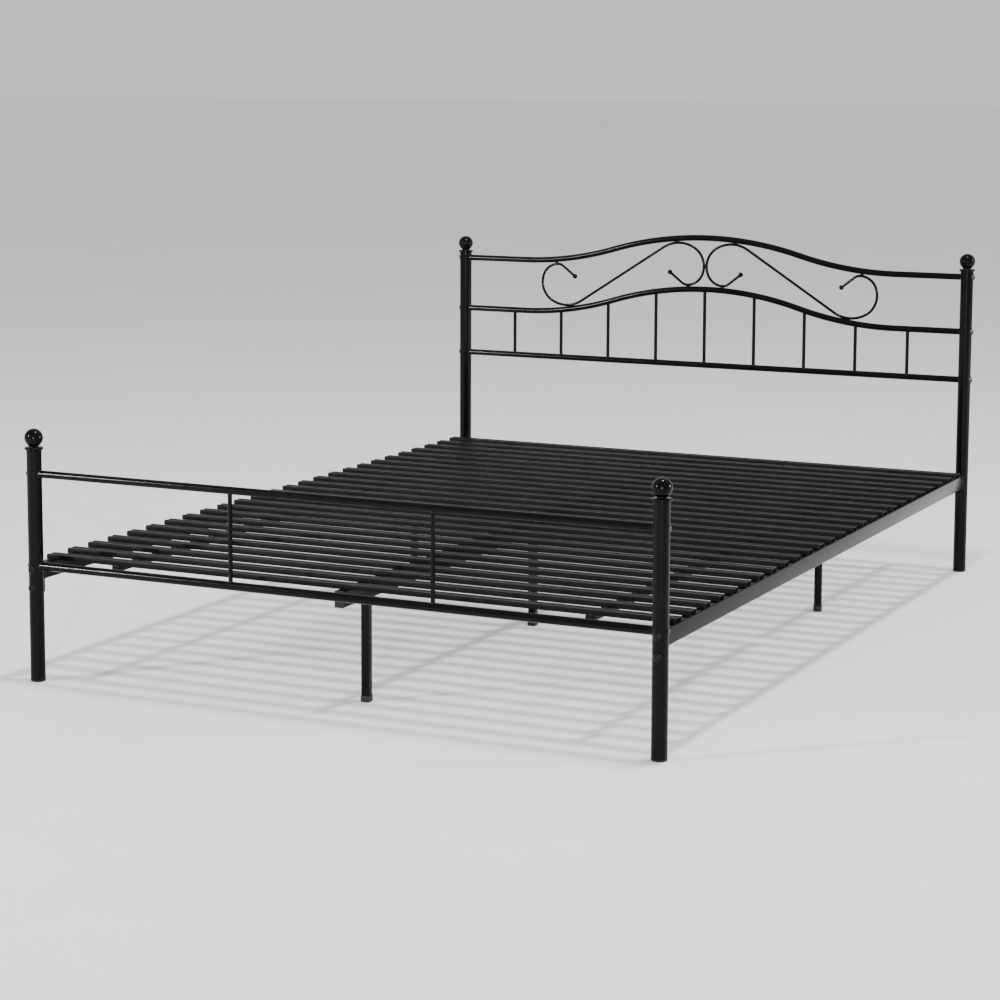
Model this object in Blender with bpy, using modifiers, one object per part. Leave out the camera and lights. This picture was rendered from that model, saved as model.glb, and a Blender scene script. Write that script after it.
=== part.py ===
"""Metal bed frame for a 140 x 200 cm mattress, as separate bolted parts.

Four tubular posts with ball finials carry an arched headboard with two rod
scrolls, a low footboard, two side rails, a centre beam on square legs and two
welded slat panels.  +X is the right of the bed seen from its foot end, +Y runs
towards the headboard and +Z is up.  The origin is on the floor, in the middle.
"""

import math

import bmesh
import bpy
from mathutils import Matrix, Vector

# Overall layout, in metres.
GAP = 0.0003
POST_X = 0.71
POST_Y = 1.03
POST_RADIUS = 0.016
POST_WALL = 0.0015
CLEAR_RADIUS = POST_RADIUS + GAP
HEAD_POST_TOP = 0.7745
FOOT_POST_TOP = 0.4965

# Plastic cap under each post.
CAP_SOLE = 0.004
CAP_PLUG_HEIGHT = 0.022
PLUG_RADIUS = POST_RADIUS - POST_WALL - GAP

# Turned finial.
FINIAL_PLUG_DEPTH = 0.009
FINIAL_COLLAR_RADIUS = 0.020
FINIAL_COLLAR_HEIGHT = 0.007
FINIAL_NECK_RADIUS = 0.0105
FINIAL_BALL_RADIUS = 0.0197
FINIAL_BALL_RISE = 0.0257

# Cross rails.
RAIL_RADIUS = 0.008
RAIL_WALL = 0.0012
RAIL_NUT_LENGTH = 0.014
RAIL_NUT_BORE = 0.0034
FOOT_RAIL_TOP_Z = 0.446
FOOT_RAIL_LOW_Z = 0.2492
FOOT_LOW_RADIUS = 0.009
HEAD_LOW_Z = 0.497

# Arched rails: flat ends, a valley arc and a crown arc of one radius.
ARCH_HALF_SPAN = 0.525
ARCH_STEPS = 20
TOP_ARCH_END_Z = 0.7605
TOP_ARCH_CROWN_Z = 0.837
MID_ARCH_END_Z = 0.6205
MID_ARCH_CROWN_Z = 0.6997

# Spindles.
SPINDLE_RADIUS = 0.0045
HEAD_SPINDLES = 9
HEAD_SPINDLE_PITCH = 0.1395
FOOT_SPINDLE_X = 0.2305

# Rod scrolls between the two arches, each the same when turned half way round.
SCROLL_CENTRE_X = 0.2393
SCROLL_CENTRE_Z = 0.7314
SCROLL_ROD_RADIUS = 0.0036
SCROLL_BALL_RADIUS = 0.0066
SCROLL_LEAN = math.radians(32.8)
SCROLL_STRAIGHT = 0.1427
SCROLL_BENDS = (
    (0.083, math.radians(-30.0)),
    (0.058, math.radians(-110.0)),
    (0.046, math.radians(-180.0)),
    (0.025, math.radians(-218.0)),
)
SCROLL_TAIL = 0.0435

# Side rails with a welded saddle at each end.
SIDE_RAIL_WIDTH = 0.020
SIDE_RAIL_HEIGHT = 0.035
SIDE_RAIL_Z = 0.236
SIDE_RAIL_WALL = 0.0015
SADDLE_WIDTH = 0.020
SADDLE_DEPTH = 0.013
SADDLE_Z = (0.191, 0.2535)
SADDLE_LAP = 0.002

# Centre beam and legs.
BEAM_WIDTH = 0.020
BEAM_HEIGHT = 0.035
BEAM_BOTTOM_Z = 0.2182
BEAM_END_Y = 0.993
BEAM_WALL = 0.0015
CENTRE_LEG_WIDTH = 0.018
CENTRE_LEG_Y = (-0.876, -0.058, 0.760)
LEG_PAD_HEIGHT = 0.014
LEG_PAD_EXTRA = 0.001
SIDE_LEG_X = 0.543
SIDE_LEG_Y = 0.393
SIDE_LEG_RADIUS = 0.0095

# Slat panels: pressed channels welded across two long tubes.
SLAT_BOTTOM_Z = 0.2538
SLAT_HEIGHT = 0.010
SLAT_WIDTH = 0.030
SLAT_SHEET = 0.0012
SLAT_HALF_LENGTH = 0.7195
SLAT_PITCH = 0.077
SLATS_PER_PANEL = 13
STRINGER_WIDTH = 0.020
STRINGER_HEIGHT = 0.012
STRINGER_WALL = 0.0012
STRINGER_OVERHANG = 0.020
WELD_DEPTH = 0.0004

# Bolts: each kind has its washer's radius, the washer's top and the head's top.
BOLT_SHANK_RADIUS = 0.003
BOLT_HOLE_RADIUS = 0.0034
BOLT_HEAD_RADIUS = 0.006
SIDE_BOLT = (0.0093, 0.0192, 0.0228)
SADDLE_BOLT = (0.0093, 0.0172, 0.0198)
FLUSH_BOLT = (0.0064, 0.0166, 0.0184)
SIDE_BOLT_Z = (0.2428, 0.2028)
BOLT_END = 0.0290

# Outline counts.
POST_SIDES = 20
TURNED_SIDES = 16
ROD_SIDES = 12
BOLT_SIDES = 10
BORE_SIDES = 8
SEAT_SIDES = 24

BLACK = (0.012, 0.012, 0.013)
PARTS = "metal_bed_frame"
CUTTERS = "cutters"


def clear_scene():
    for item in list(bpy.data.objects):
        bpy.data.objects.remove(item, do_unlink=True)


def collection(name):
    found = bpy.data.collections.get(name)
    if found is None:
        found = bpy.data.collections.new(name)
        bpy.context.scene.collection.children.link(found)
    return found


def finish(name, colour, metallic, roughness):
    """Principled material of the given name."""
    made = bpy.data.materials.new(name)
    made.use_nodes = True
    shader = made.node_tree.nodes["Principled BSDF"]
    shader.inputs["Base Color"].default_value = (*colour, 1.0)
    shader.inputs["Metallic"].default_value = metallic
    shader.inputs["Roughness"].default_value = roughness
    return made


def painted(name):
    return finish(name, BLACK, 0.0, 0.28)


def file_under(item, group):
    for owner in list(item.users_collection):
        owner.objects.unlink(item)
    collection(group).objects.link(item)


def keep_part(item, name, material):
    """Name the object, give it its material and file it with the parts."""
    item.name = name
    item.data.name = name
    item.data.materials.clear()
    item.data.materials.append(material)
    file_under(item, PARTS)
    item.data.shade_smooth()
    item.data.set_sharp_from_angle(angle=math.radians(40.0))
    return item


def keep_cutter(item, name):
    item.name = name
    file_under(item, CUTTERS)
    item.hide_render = True
    item.display_type = "WIRE"
    return item


def box(size, centre):
    bpy.ops.mesh.primitive_cube_add(size=1.0, location=centre)
    item = bpy.context.object
    item.scale = size
    bpy.ops.object.transform_apply(location=False, rotation=False, scale=True)
    return item


def rod(radius, length, centre, axis="Z", sides=ROD_SIDES):
    """Solid cylinder of the given length about its centre, along one axis."""
    turn = {"X": (0.0, math.pi / 2, 0.0), "Y": (math.pi / 2, 0.0, 0.0), "Z": (0.0, 0.0, 0.0)}[axis]
    bpy.ops.mesh.primitive_cylinder_add(
        vertices=sides, radius=radius, depth=length, location=centre, rotation=turn
    )
    return bpy.context.object


def turned(profile, closed, sides):
    """Turn (radius, z) points about Z.  An open profile ends on the axis."""
    points = [(radius, 0.0, z) for radius, z in profile]
    edges = [(i, i + 1) for i in range(len(points) - 1)]
    if closed:
        edges.append((len(points) - 1, 0))
    mesh = bpy.data.meshes.new("turned")
    mesh.from_pydata(points, edges, [])
    item = bpy.data.objects.new("turned", mesh)
    collection(PARTS).objects.link(item)
    screw = item.modifiers.new("turn", "SCREW")
    screw.steps = sides
    screw.render_steps = sides
    screw.use_merge_vertices = True
    screw.merge_threshold = 0.00001
    return as_mesh(item)


def as_mesh(item, weld=0.00001):
    """Replace an object by the mesh that it evaluates to, in the same place."""
    graph = bpy.context.evaluated_depsgraph_get()
    mesh = bpy.data.meshes.new_from_object(item.evaluated_get(graph))
    made = bpy.data.objects.new(item.name, mesh)
    made.matrix_world = item.matrix_world.copy()
    collection(PARTS).objects.link(made)
    bpy.data.objects.remove(item, do_unlink=True)
    weld_points(mesh, weld)
    bpy.context.view_layer.update()
    return made


def weld_points(mesh, distance):
    shape = bmesh.new()
    shape.from_mesh(mesh)
    bmesh.ops.remove_doubles(shape, verts=shape.verts, dist=distance)
    shape.to_mesh(mesh)
    shape.free()


def swept(points, radius, capped, resolution):
    """Round wire through the points."""
    curve = bpy.data.curves.new("swept", "CURVE")
    curve.dimensions = "3D"
    curve.bevel_depth = radius
    curve.bevel_resolution = resolution
    curve.use_fill_caps = capped
    curve.render_resolution_u = 0
    spline = curve.splines.new("POLY")
    spline.points.add(len(points) - 1)
    for target, point in zip(spline.points, points):
        target.co = (*point, 1.0)
    item = bpy.data.objects.new("swept", curve)
    collection(PARTS).objects.link(item)
    return as_mesh(item)


def combine(item, other, operation):
    """Boolean with an object that is only needed for this, then apply it."""
    change = item.modifiers.new(operation.lower(), "BOOLEAN")
    change.operation = operation
    change.object = other
    change.solver = "EXACT"
    bpy.context.view_layer.update()
    made = as_mesh(item)
    bpy.data.objects.remove(other, do_unlink=True)
    return made


def cut_live(item, cutter, name):
    """Leave a difference with a kept cutter on the object's modifier stack."""
    change = item.modifiers.new(name, "BOOLEAN")
    change.operation = "DIFFERENCE"
    change.object = cutter
    change.solver = "EXACT"


def post_clearance():
    """Four tall cylinders a gap wider than the posts, in one cutter."""
    cutter = None
    for x in (-POST_X, POST_X):
        for y in (-POST_Y, POST_Y):
            column = rod(CLEAR_RADIUS, 1.0, (x, y, 0.5), sides=SEAT_SIDES)
            cutter = column if cutter is None else combine(cutter, column, "UNION")
    return keep_cutter(cutter, "cutter_post_clearance")


def rail_heights(side_y):
    """Heights of the cross bolts of the head posts or of the foot posts."""
    if side_y > 0.0:
        return (HEAD_LOW_Z, MID_ARCH_END_Z, TOP_ARCH_END_Z)
    return (FOOT_RAIL_LOW_Z, FOOT_RAIL_TOP_Z)


def hole_cutter(name, centres, axis):
    cutter = None
    for centre in centres:
        drill = rod(BOLT_HOLE_RADIUS, 0.060, centre, axis, BORE_SIDES)
        cutter = drill if cutter is None else combine(cutter, drill, "UNION")
    return keep_cutter(cutter, name)


def build_post(name, x, y):
    top = HEAD_POST_TOP if y > 0.0 else FOOT_POST_TOP
    inner = POST_RADIUS - POST_WALL
    bottom = CAP_SOLE + GAP
    profile = [(POST_RADIUS, top), (POST_RADIUS, bottom), (inner, bottom), (inner, top)]
    tube = turned(profile, True, POST_SIDES)
    tube.location = (x, y, 0.0)
    keep_part(tube, name, painted(name + "_paint"))
    side_holes = [(x, y, z) for z in SIDE_BOLT_Z]
    cross_holes = [(x, y, z) for z in rail_heights(y)]
    cut_live(tube, hole_cutter("cutter_side_" + name, side_holes, "Y"), "side bolt holes")
    cut_live(tube, hole_cutter("cutter_cross_" + name, cross_holes, "X"), "cross bolt holes")
    return tube


def build_foot_cap(name, x, y):
    """Plastic plug with a rounded sole, pushed into the foot of a post."""
    top = CAP_SOLE + CAP_PLUG_HEIGHT
    profile = [
        (0.0, top),
        (PLUG_RADIUS - 0.0010, top),
        (PLUG_RADIUS, top - 0.0015),
        (PLUG_RADIUS, CAP_SOLE),
        (POST_RADIUS, CAP_SOLE),
        (POST_RADIUS, 0.0018),
        (POST_RADIUS - 0.0016, 0.0),
        (0.0, 0.0),
    ]
    cap = turned(profile, False, TURNED_SIDES)
    cap.location = (x, y, 0.0)
    return keep_part(cap, name, finish(name + "_plastic", (0.02, 0.02, 0.02), 0.0, 0.45))


def arc_points(radius, rise, start, end, steps):
    """Points on a circle round (0, rise), between two angles from the top."""
    points = []
    for i in range(steps + 1):
        angle = math.radians(start + (end - start) * i / steps)
        points.append((radius * math.sin(angle), rise + radius * math.cos(angle)))
    return points


def build_finial(name, x, y):
    """Ball on a collar, with a plug that goes down into the post."""
    seat = GAP
    collar_top = seat + FINIAL_COLLAR_HEIGHT
    middle = (seat + collar_top) / 2.0
    neck_angle = 180.0 - math.degrees(math.asin(FINIAL_NECK_RADIUS / FINIAL_BALL_RADIUS))
    profile = arc_points(FINIAL_BALL_RADIUS, FINIAL_BALL_RISE, 0.0, neck_angle, 6)
    profile[0] = (0.0, profile[0][1])
    profile += [
        (FINIAL_NECK_RADIUS, collar_top),
        (FINIAL_COLLAR_RADIUS - 0.0018, collar_top),
        (FINIAL_COLLAR_RADIUS, middle),
        (FINIAL_COLLAR_RADIUS - 0.0018, seat),
        (PLUG_RADIUS, seat),
        (PLUG_RADIUS, -FINIAL_PLUG_DEPTH),
        (0.0, -FINIAL_PLUG_DEPTH),
    ]
    knob = turned(profile, False, TURNED_SIDES)
    knob.location = (x, y, HEAD_POST_TOP if y > 0.0 else FOOT_POST_TOP)
    return keep_part(knob, name, painted(name + "_paint"))


def build_straight_rail(name, radius, y, z, posts):
    """Tube between two posts, thick at its ends where the bolts screw in."""
    half = POST_X
    bore = radius - RAIL_WALL
    nut = half - POST_RADIUS - RAIL_NUT_LENGTH
    profile = [
        (radius, half),
        (radius, -half),
        (RAIL_NUT_BORE, -half),
        (RAIL_NUT_BORE, -nut),
        (bore, -nut),
        (bore, nut),
        (RAIL_NUT_BORE, nut),
        (RAIL_NUT_BORE, half),
    ]
    tube = turned(profile, True, TURNED_SIDES)
    tube.rotation_euler = (0.0, math.pi / 2, 0.0)
    tube.location = (0.0, y, z)
    keep_part(tube, name, painted(name + "_paint"))
    cut_live(tube, posts, "coped ends")
    return tube


def arch_height(x, end_z, crown_z):
    """Height of an arched rail's centre line at x."""
    rise = crown_z - end_z
    half = ARCH_HALF_SPAN / 2.0
    radius = half * half / rise + rise / 4.0
    reach = abs(x)
    if reach >= ARCH_HALF_SPAN:
        return end_z
    if reach <= half:
        return crown_z - radius + math.sqrt(radius * radius - reach * reach)
    inset = ARCH_HALF_SPAN - reach
    return end_z + radius - math.sqrt(radius * radius - inset * inset)


def build_arch(name, end_z, crown_z, posts):
    """Bent tube: a swept skin, made hollow with Solidify and coped to the posts."""
    xs = [ARCH_HALF_SPAN * (2.0 * i / ARCH_STEPS - 1.0) for i in range(ARCH_STEPS + 1)]
    xs = [-POST_X] + xs + [POST_X]
    points = [(x, POST_Y, arch_height(x, end_z, crown_z)) for x in xs]
    skin = swept(points, RAIL_RADIUS, False, 2)
    wall = skin.modifiers.new("tube wall", "SOLIDIFY")
    wall.thickness = RAIL_WALL
    wall.offset = -1.0
    tube = as_mesh(skin)
    keep_part(tube, name, painted(name + "_paint"))
    cut_live(tube, posts, "coped ends")
    return tube


def arch_underside(x, end_z, crown_z):
    """Highest flat spindle top that stays clear of an arched rail at x."""
    step = 0.001
    slope = abs(arch_height(x + step, end_z, crown_z) - arch_height(x - step, end_z, crown_z)) / (2.0 * step)
    drop = RAIL_RADIUS * math.sqrt(1.0 + slope * slope) + SPINDLE_RADIUS * slope
    return arch_height(x, end_z, crown_z) - drop - 2.0 * GAP


def build_spindle(name, x, y, low_z, high_z):
    bar = rod(SPINDLE_RADIUS, high_z - low_z, (x, y, (low_z + high_z) / 2.0))
    return keep_part(bar, name, painted(name + "_paint"))


def scroll_half():
    """Half of a scroll from its middle to one ball: a straight, bends and a tail."""
    heading = SCROLL_LEAN
    x = SCROLL_STRAIGHT * math.cos(heading)
    z = SCROLL_STRAIGHT * math.sin(heading)
    points = [(x, z)]
    for radius, end in SCROLL_BENDS:
        centre_x = x + radius * math.sin(heading)
        centre_z = z - radius * math.cos(heading)
        steps = math.ceil((heading - end) / math.radians(18.0))
        for i in range(1, steps + 1):
            turn = heading + (end - heading) * i / steps
            points.append((centre_x - radius * math.sin(turn), centre_z + radius * math.cos(turn)))
        x, z = points[-1]
        heading = end
    points.append((x + SCROLL_TAIL * math.cos(heading), z + SCROLL_TAIL * math.sin(heading)))
    return points


def build_scroll(name, side):
    """S-shaped rod with a ball on each end; side is -1 for left, 1 for right."""
    half = scroll_half()
    path = [(-x, -z) for x, z in reversed(half)] + half
    points = []
    for x, z in path:
        points.append((side * (SCROLL_CENTRE_X - x), POST_Y, SCROLL_CENTRE_Z + z))
    body = swept(points, SCROLL_ROD_RADIUS, True, 1)
    for end in (points[0], points[-1]):
        bpy.ops.mesh.primitive_uv_sphere_add(
            segments=10, ring_count=6, radius=SCROLL_BALL_RADIUS, location=end
        )
        body = combine(body, bpy.context.object, "UNION")
    return keep_part(body, name, painted(name + "_paint"))


def box_tube(width, height, wall, length, centre):
    """Open-ended rectangular tube along Y."""
    tube = box((width, length, height), centre)
    core = box((width - 2.0 * wall, length + 0.01, height - 2.0 * wall), centre)
    return combine(tube, core, "DIFFERENCE")


def build_side_rail(name, side, posts):
    """Rectangular tube with a saddle plate welded on each end."""
    x = side * POST_X
    length = 2.0 * (POST_Y - POST_RADIUS - SADDLE_LAP)
    body = box_tube(SIDE_RAIL_WIDTH, SIDE_RAIL_HEIGHT, SIDE_RAIL_WALL, length, (x, 0.0, SIDE_RAIL_Z))
    middle_z = sum(SADDLE_Z) / 2.0
    height = SADDLE_Z[1] - SADDLE_Z[0]
    for end in (-1.0, 1.0):
        y = end * (POST_Y - SADDLE_DEPTH)
        saddle = box((SADDLE_WIDTH, SADDLE_DEPTH, height), (x, y, middle_z))
        body = combine(body, saddle, "UNION")
    keep_part(body, name, painted(name + "_paint"))
    holes = [(x, end * (POST_Y - 0.020), z) for end in (-1.0, 1.0) for z in SIDE_BOLT_Z]
    cut_live(body, posts, "post seats")
    cut_live(body, hole_cutter("cutter_bolts_" + name, holes, "Y"), "bolt holes")
    return body


def build_beam():
    middle = (0.0, 0.0, BEAM_BOTTOM_Z + BEAM_HEIGHT / 2.0)
    beam = box_tube(BEAM_WIDTH, BEAM_HEIGHT, BEAM_WALL, 2.0 * BEAM_END_Y, middle)
    return keep_part(beam, "centre_beam", painted("centre_beam_paint"))


def build_centre_leg(name, y):
    """Square leg standing in a slightly wider pad."""
    top = BEAM_BOTTOM_Z - GAP
    pad_width = CENTRE_LEG_WIDTH + 2.0 * LEG_PAD_EXTRA
    leg = box((CENTRE_LEG_WIDTH, CENTRE_LEG_WIDTH, top - 0.002), (0.0, y, (top + 0.002) / 2.0))
    pad = box((pad_width, pad_width, LEG_PAD_HEIGHT), (0.0, y, LEG_PAD_HEIGHT / 2.0))
    return keep_part(combine(leg, pad, "UNION"), name, painted(name + "_paint"))


def build_side_leg(name, x):
    """Round leg under a slat panel's long tube, with a wider foot."""
    top = SLAT_BOTTOM_Z + WELD_DEPTH - STRINGER_HEIGHT - GAP
    foot = SIDE_LEG_RADIUS + LEG_PAD_EXTRA
    profile = [
        (0.0, top),
        (SIDE_LEG_RADIUS, top),
        (SIDE_LEG_RADIUS, LEG_PAD_HEIGHT),
        (foot, LEG_PAD_HEIGHT),
        (foot, 0.0015),
        (foot - 0.0012, 0.0),
        (0.0, 0.0),
    ]
    leg = turned(profile, False, TURNED_SIDES)
    leg.location = (x, SIDE_LEG_Y, 0.0)
    return keep_part(leg, name, painted(name + "_paint"))


def channel(y):
    """One pressed slat, open below."""
    middle_z = SLAT_BOTTOM_Z + SLAT_HEIGHT / 2.0
    slat = box((2.0 * SLAT_HALF_LENGTH, SLAT_WIDTH, SLAT_HEIGHT), (0.0, y, middle_z))
    hollow = (2.0 * SLAT_HALF_LENGTH + 0.01, SLAT_WIDTH - 2.0 * SLAT_SHEET, SLAT_HEIGHT)
    inside = box(hollow, (0.0, y, middle_z - SLAT_SHEET))
    return combine(slat, inside, "DIFFERENCE")


def build_slat_panel(name, side):
    """Slats of one half of the bed, welded across two long tubes."""
    first = side * SLAT_PITCH / 2.0
    ys = [first + side * SLAT_PITCH * i for i in range(SLATS_PER_PANEL)]
    length = abs(ys[-1] - ys[0]) + 2.0 * STRINGER_OVERHANG - 0.006
    middle_z = SLAT_BOTTOM_Z + WELD_DEPTH - STRINGER_HEIGHT / 2.0
    panel = None
    for x in (-SIDE_LEG_X, SIDE_LEG_X):
        centre = (x, (ys[0] + ys[-1]) / 2.0, middle_z)
        tube = box_tube(STRINGER_WIDTH, STRINGER_HEIGHT, STRINGER_WALL, length, centre)
        panel = tube if panel is None else combine(panel, tube, "UNION")
    for y in ys:
        panel = combine(panel, channel(y), "UNION")
    return keep_part(panel, name, painted(name + "_paint"))


def bolt_mesh(washer_radius, washer_top, crown):
    """Button-head bolt on a saddle washer, along Z, with the post's axis along Y."""
    inside = POST_RADIUS * 0.6
    profile = [
        (0.0, crown),
        (BOLT_HEAD_RADIUS * 0.62, crown),
        (BOLT_HEAD_RADIUS * 0.92, crown - (crown - washer_top) * 0.42),
        (BOLT_HEAD_RADIUS, washer_top + 0.0006),
        (BOLT_HEAD_RADIUS, washer_top),
        (washer_radius - 0.0002, washer_top),
        (washer_radius, washer_top - 0.0005),
        (washer_radius, inside),
        (0.0, inside),
    ]
    head = turned(profile, False, BOLT_SIDES)
    post = rod(CLEAR_RADIUS, 0.06, (0.0, 0.0, 0.0), "Y", SEAT_SIDES)
    head = combine(head, post, "DIFFERENCE")
    top = washer_top - 0.0005
    shank = rod(BOLT_SHANK_RADIUS, top + BOLT_END, (0.0, 0.0, (top - BOLT_END) / 2.0), "Z", BORE_SIDES)
    bolt = combine(head, shank, "UNION")
    mesh = bolt.data.copy()
    bpy.data.objects.remove(bolt, do_unlink=True)
    return mesh


def build_bolt(name, mesh, centre, outward):
    """Place a bolt with its head on the outward side of a post."""
    up = Vector((0.0, 0.0, 1.0))
    out = Vector(outward)
    across = up.cross(out)
    turn = Matrix((across, up, out)).transposed().to_4x4()
    bolt = bpy.data.objects.new(name, mesh.copy())
    bolt.matrix_world = Matrix.Translation(centre) @ turn
    collection(PARTS).objects.link(bolt)
    return keep_part(bolt, name, finish(name + "_steel", (0.16, 0.16, 0.17), 1.0, 0.35))


def build_posts():
    for end, y in (("foot", -POST_Y), ("head", POST_Y)):
        for side, x in (("left", -POST_X), ("right", POST_X)):
            place = end + "_" + side
            build_post("post_" + place, x, y)
            build_foot_cap("foot_cap_" + place, x, y)
            build_finial("finial_" + place, x, y)


def build_headboard(posts):
    build_straight_rail("head_rail_low", RAIL_RADIUS, POST_Y, HEAD_LOW_Z, posts)
    build_arch("head_rail_mid_arch", MID_ARCH_END_Z, MID_ARCH_CROWN_Z, posts)
    build_arch("head_rail_top_arch", TOP_ARCH_END_Z, TOP_ARCH_CROWN_Z, posts)
    middle = (HEAD_SPINDLES - 1) / 2.0
    for i in range(HEAD_SPINDLES):
        x = (i - middle) * HEAD_SPINDLE_PITCH
        low = HEAD_LOW_Z + RAIL_RADIUS + GAP
        high = arch_underside(x, MID_ARCH_END_Z, MID_ARCH_CROWN_Z)
        build_spindle("head_spindle_%d" % (i + 1), x, POST_Y, low, high)
    build_scroll("scroll_left", -1.0)
    build_scroll("scroll_right", 1.0)


def build_footboard(posts):
    build_straight_rail("foot_rail_top", RAIL_RADIUS, -POST_Y, FOOT_RAIL_TOP_Z, posts)
    build_straight_rail("foot_rail_low", FOOT_LOW_RADIUS, -POST_Y, FOOT_RAIL_LOW_Z, posts)
    low = FOOT_RAIL_LOW_Z + FOOT_LOW_RADIUS + GAP
    high = FOOT_RAIL_TOP_Z - RAIL_RADIUS - GAP
    build_spindle("foot_spindle_left", -FOOT_SPINDLE_X, -POST_Y, low, high)
    build_spindle("foot_spindle_right", FOOT_SPINDLE_X, -POST_Y, low, high)


def build_base(posts):
    build_side_rail("side_rail_left", -1.0, posts)
    build_side_rail("side_rail_right", 1.0, posts)
    build_beam()
    for place, y in zip(("foot", "middle", "head"), CENTRE_LEG_Y):
        build_centre_leg("centre_leg_" + place, y)
    build_side_leg("side_leg_left", -SIDE_LEG_X)
    build_side_leg("side_leg_right", SIDE_LEG_X)
    build_slat_panel("slat_panel_foot", -1.0)
    build_slat_panel("slat_panel_head", 1.0)


def build_bolts():
    """Two bolts through each post to the side rail, one to each cross rail."""
    side_mesh = bolt_mesh(*SIDE_BOLT)
    saddle_mesh = bolt_mesh(*SADDLE_BOLT)
    flush_mesh = bolt_mesh(*FLUSH_BOLT)
    for end, y in (("foot", -POST_Y), ("head", POST_Y)):
        for side, x in (("left", -POST_X), ("right", POST_X)):
            place = end + "_" + side
            for i, z in enumerate(SIDE_BOLT_Z):
                name = "side_bolt_%s_%d" % (place, i + 1)
                build_bolt(name, side_mesh, (x, y, z), (0.0, math.copysign(1.0, y), 0.0))
            mesh = saddle_mesh if place == "head_right" else flush_mesh
            for i, z in enumerate(rail_heights(y)):
                name = "cross_bolt_%s_%d" % (place, i + 1)
                build_bolt(name, mesh, (x, y, z), (math.copysign(1.0, x), 0.0, 0.0))


def main():
    clear_scene()
    posts = post_clearance()
    build_posts()
    build_headboard(posts)
    build_footboard(posts)
    build_base(posts)
    build_bolts()


if __name__ == "__main__":
    main()
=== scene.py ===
"""Black tubular metal bed frame with arched headboard, rod scrolls and slatted base.

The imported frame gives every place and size.  Each operator makes one group of
like pieces over it: smooth tubes, turned finials, bent arches and scrolls,
pressed slats, bolts with hex sockets, weld beads, and the stage.
"""

import math

import bmesh
import bpy
from bpy.props import FloatProperty, FloatVectorProperty, IntProperty, PointerProperty
from mathutils import Matrix, Vector, noise


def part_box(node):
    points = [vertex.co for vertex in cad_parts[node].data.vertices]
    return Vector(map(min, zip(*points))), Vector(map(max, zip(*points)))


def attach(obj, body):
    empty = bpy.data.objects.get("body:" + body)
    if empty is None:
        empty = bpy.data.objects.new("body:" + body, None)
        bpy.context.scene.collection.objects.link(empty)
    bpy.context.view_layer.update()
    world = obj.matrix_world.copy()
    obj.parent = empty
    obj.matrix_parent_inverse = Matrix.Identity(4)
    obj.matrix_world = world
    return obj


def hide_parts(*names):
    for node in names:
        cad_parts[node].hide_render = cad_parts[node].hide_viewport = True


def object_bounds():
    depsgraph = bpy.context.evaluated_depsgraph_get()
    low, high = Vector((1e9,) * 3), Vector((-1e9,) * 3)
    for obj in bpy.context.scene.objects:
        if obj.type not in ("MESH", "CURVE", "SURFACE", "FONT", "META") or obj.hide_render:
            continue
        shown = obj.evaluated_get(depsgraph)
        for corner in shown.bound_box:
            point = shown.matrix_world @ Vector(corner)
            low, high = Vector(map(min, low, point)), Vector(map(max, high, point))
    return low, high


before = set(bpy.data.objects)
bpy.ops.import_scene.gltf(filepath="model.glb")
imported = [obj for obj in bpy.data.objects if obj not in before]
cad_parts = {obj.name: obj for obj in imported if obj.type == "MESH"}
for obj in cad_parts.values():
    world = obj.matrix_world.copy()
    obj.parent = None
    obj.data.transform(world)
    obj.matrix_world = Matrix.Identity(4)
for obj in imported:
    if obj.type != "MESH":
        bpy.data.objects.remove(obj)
CAD_LOW, CAD_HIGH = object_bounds()

bl_info = {
    "name": "Metal Bed Frame",
    "version": (1, 0, 0),
    "blender": (4, 5, 0),
    "location": "3D Viewport > Sidebar > Bed Frame",
    "description": "Builds a black tubular metal bed frame over its packed CAD frame",
    "category": "Add Mesh",
}

ENDS = ("foot", "head")
SIDES = ("left", "right")
MILLIMETRE = 0.001


# Settings.


class BedTubeSettings(bpy.types.PropertyGroup):
    """Sizes of the tubes, rods and plates."""

    post_radius: FloatProperty(
        name="Post radius", description="Outside radius of the corner posts",
        default=0.016, subtype="DISTANCE",
    )
    tube_wall: FloatProperty(
        name="Tube wall", description="Wall thickness of posts, rails and legs",
        default=0.0015, subtype="DISTANCE",
    )
    band_height: FloatProperty(
        name="Band height", description="Height of the rolled band at the top of a post",
        default=0.0045, subtype="DISTANCE",
    )
    collar_radius: FloatProperty(
        name="Collar radius", description="Radius of the bead under each finial ball",
        default=0.020, subtype="DISTANCE",
    )
    neck_radius: FloatProperty(
        name="Neck radius", description="Radius of the neck between collar and ball",
        default=0.0105, subtype="DISTANCE",
    )
    ball_radius: FloatProperty(
        name="Ball radius", description="Radius of each finial ball",
        default=0.0197, subtype="DISTANCE",
    )
    cap_sole: FloatProperty(
        name="Cap sole", description="Height of the plastic cap that shows under a post",
        default=0.004, subtype="DISTANCE",
    )
    arch_half_span: FloatProperty(
        name="Arch half span", description="Distance from the bed's middle to where an arch runs flat",
        default=0.525, subtype="DISTANCE",
    )
    rail_seat: FloatProperty(
        name="Rail seat", description="Distance from a post's axis to the end of a rail's tube",
        default=0.0138, subtype="DISTANCE",
    )
    scroll_rod: FloatProperty(
        name="Scroll rod radius", description="Radius of the rod that the scrolls are bent from",
        default=0.0036, subtype="DISTANCE",
    )
    scroll_ball: FloatProperty(
        name="Scroll ball radius", description="Radius of the ball on each end of a scroll",
        default=0.0066, subtype="DISTANCE",
    )
    weld_leg: FloatProperty(
        name="Weld leg", description="Width of the weld bead round a spindle",
        default=0.0016, subtype="DISTANCE",
    )


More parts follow.
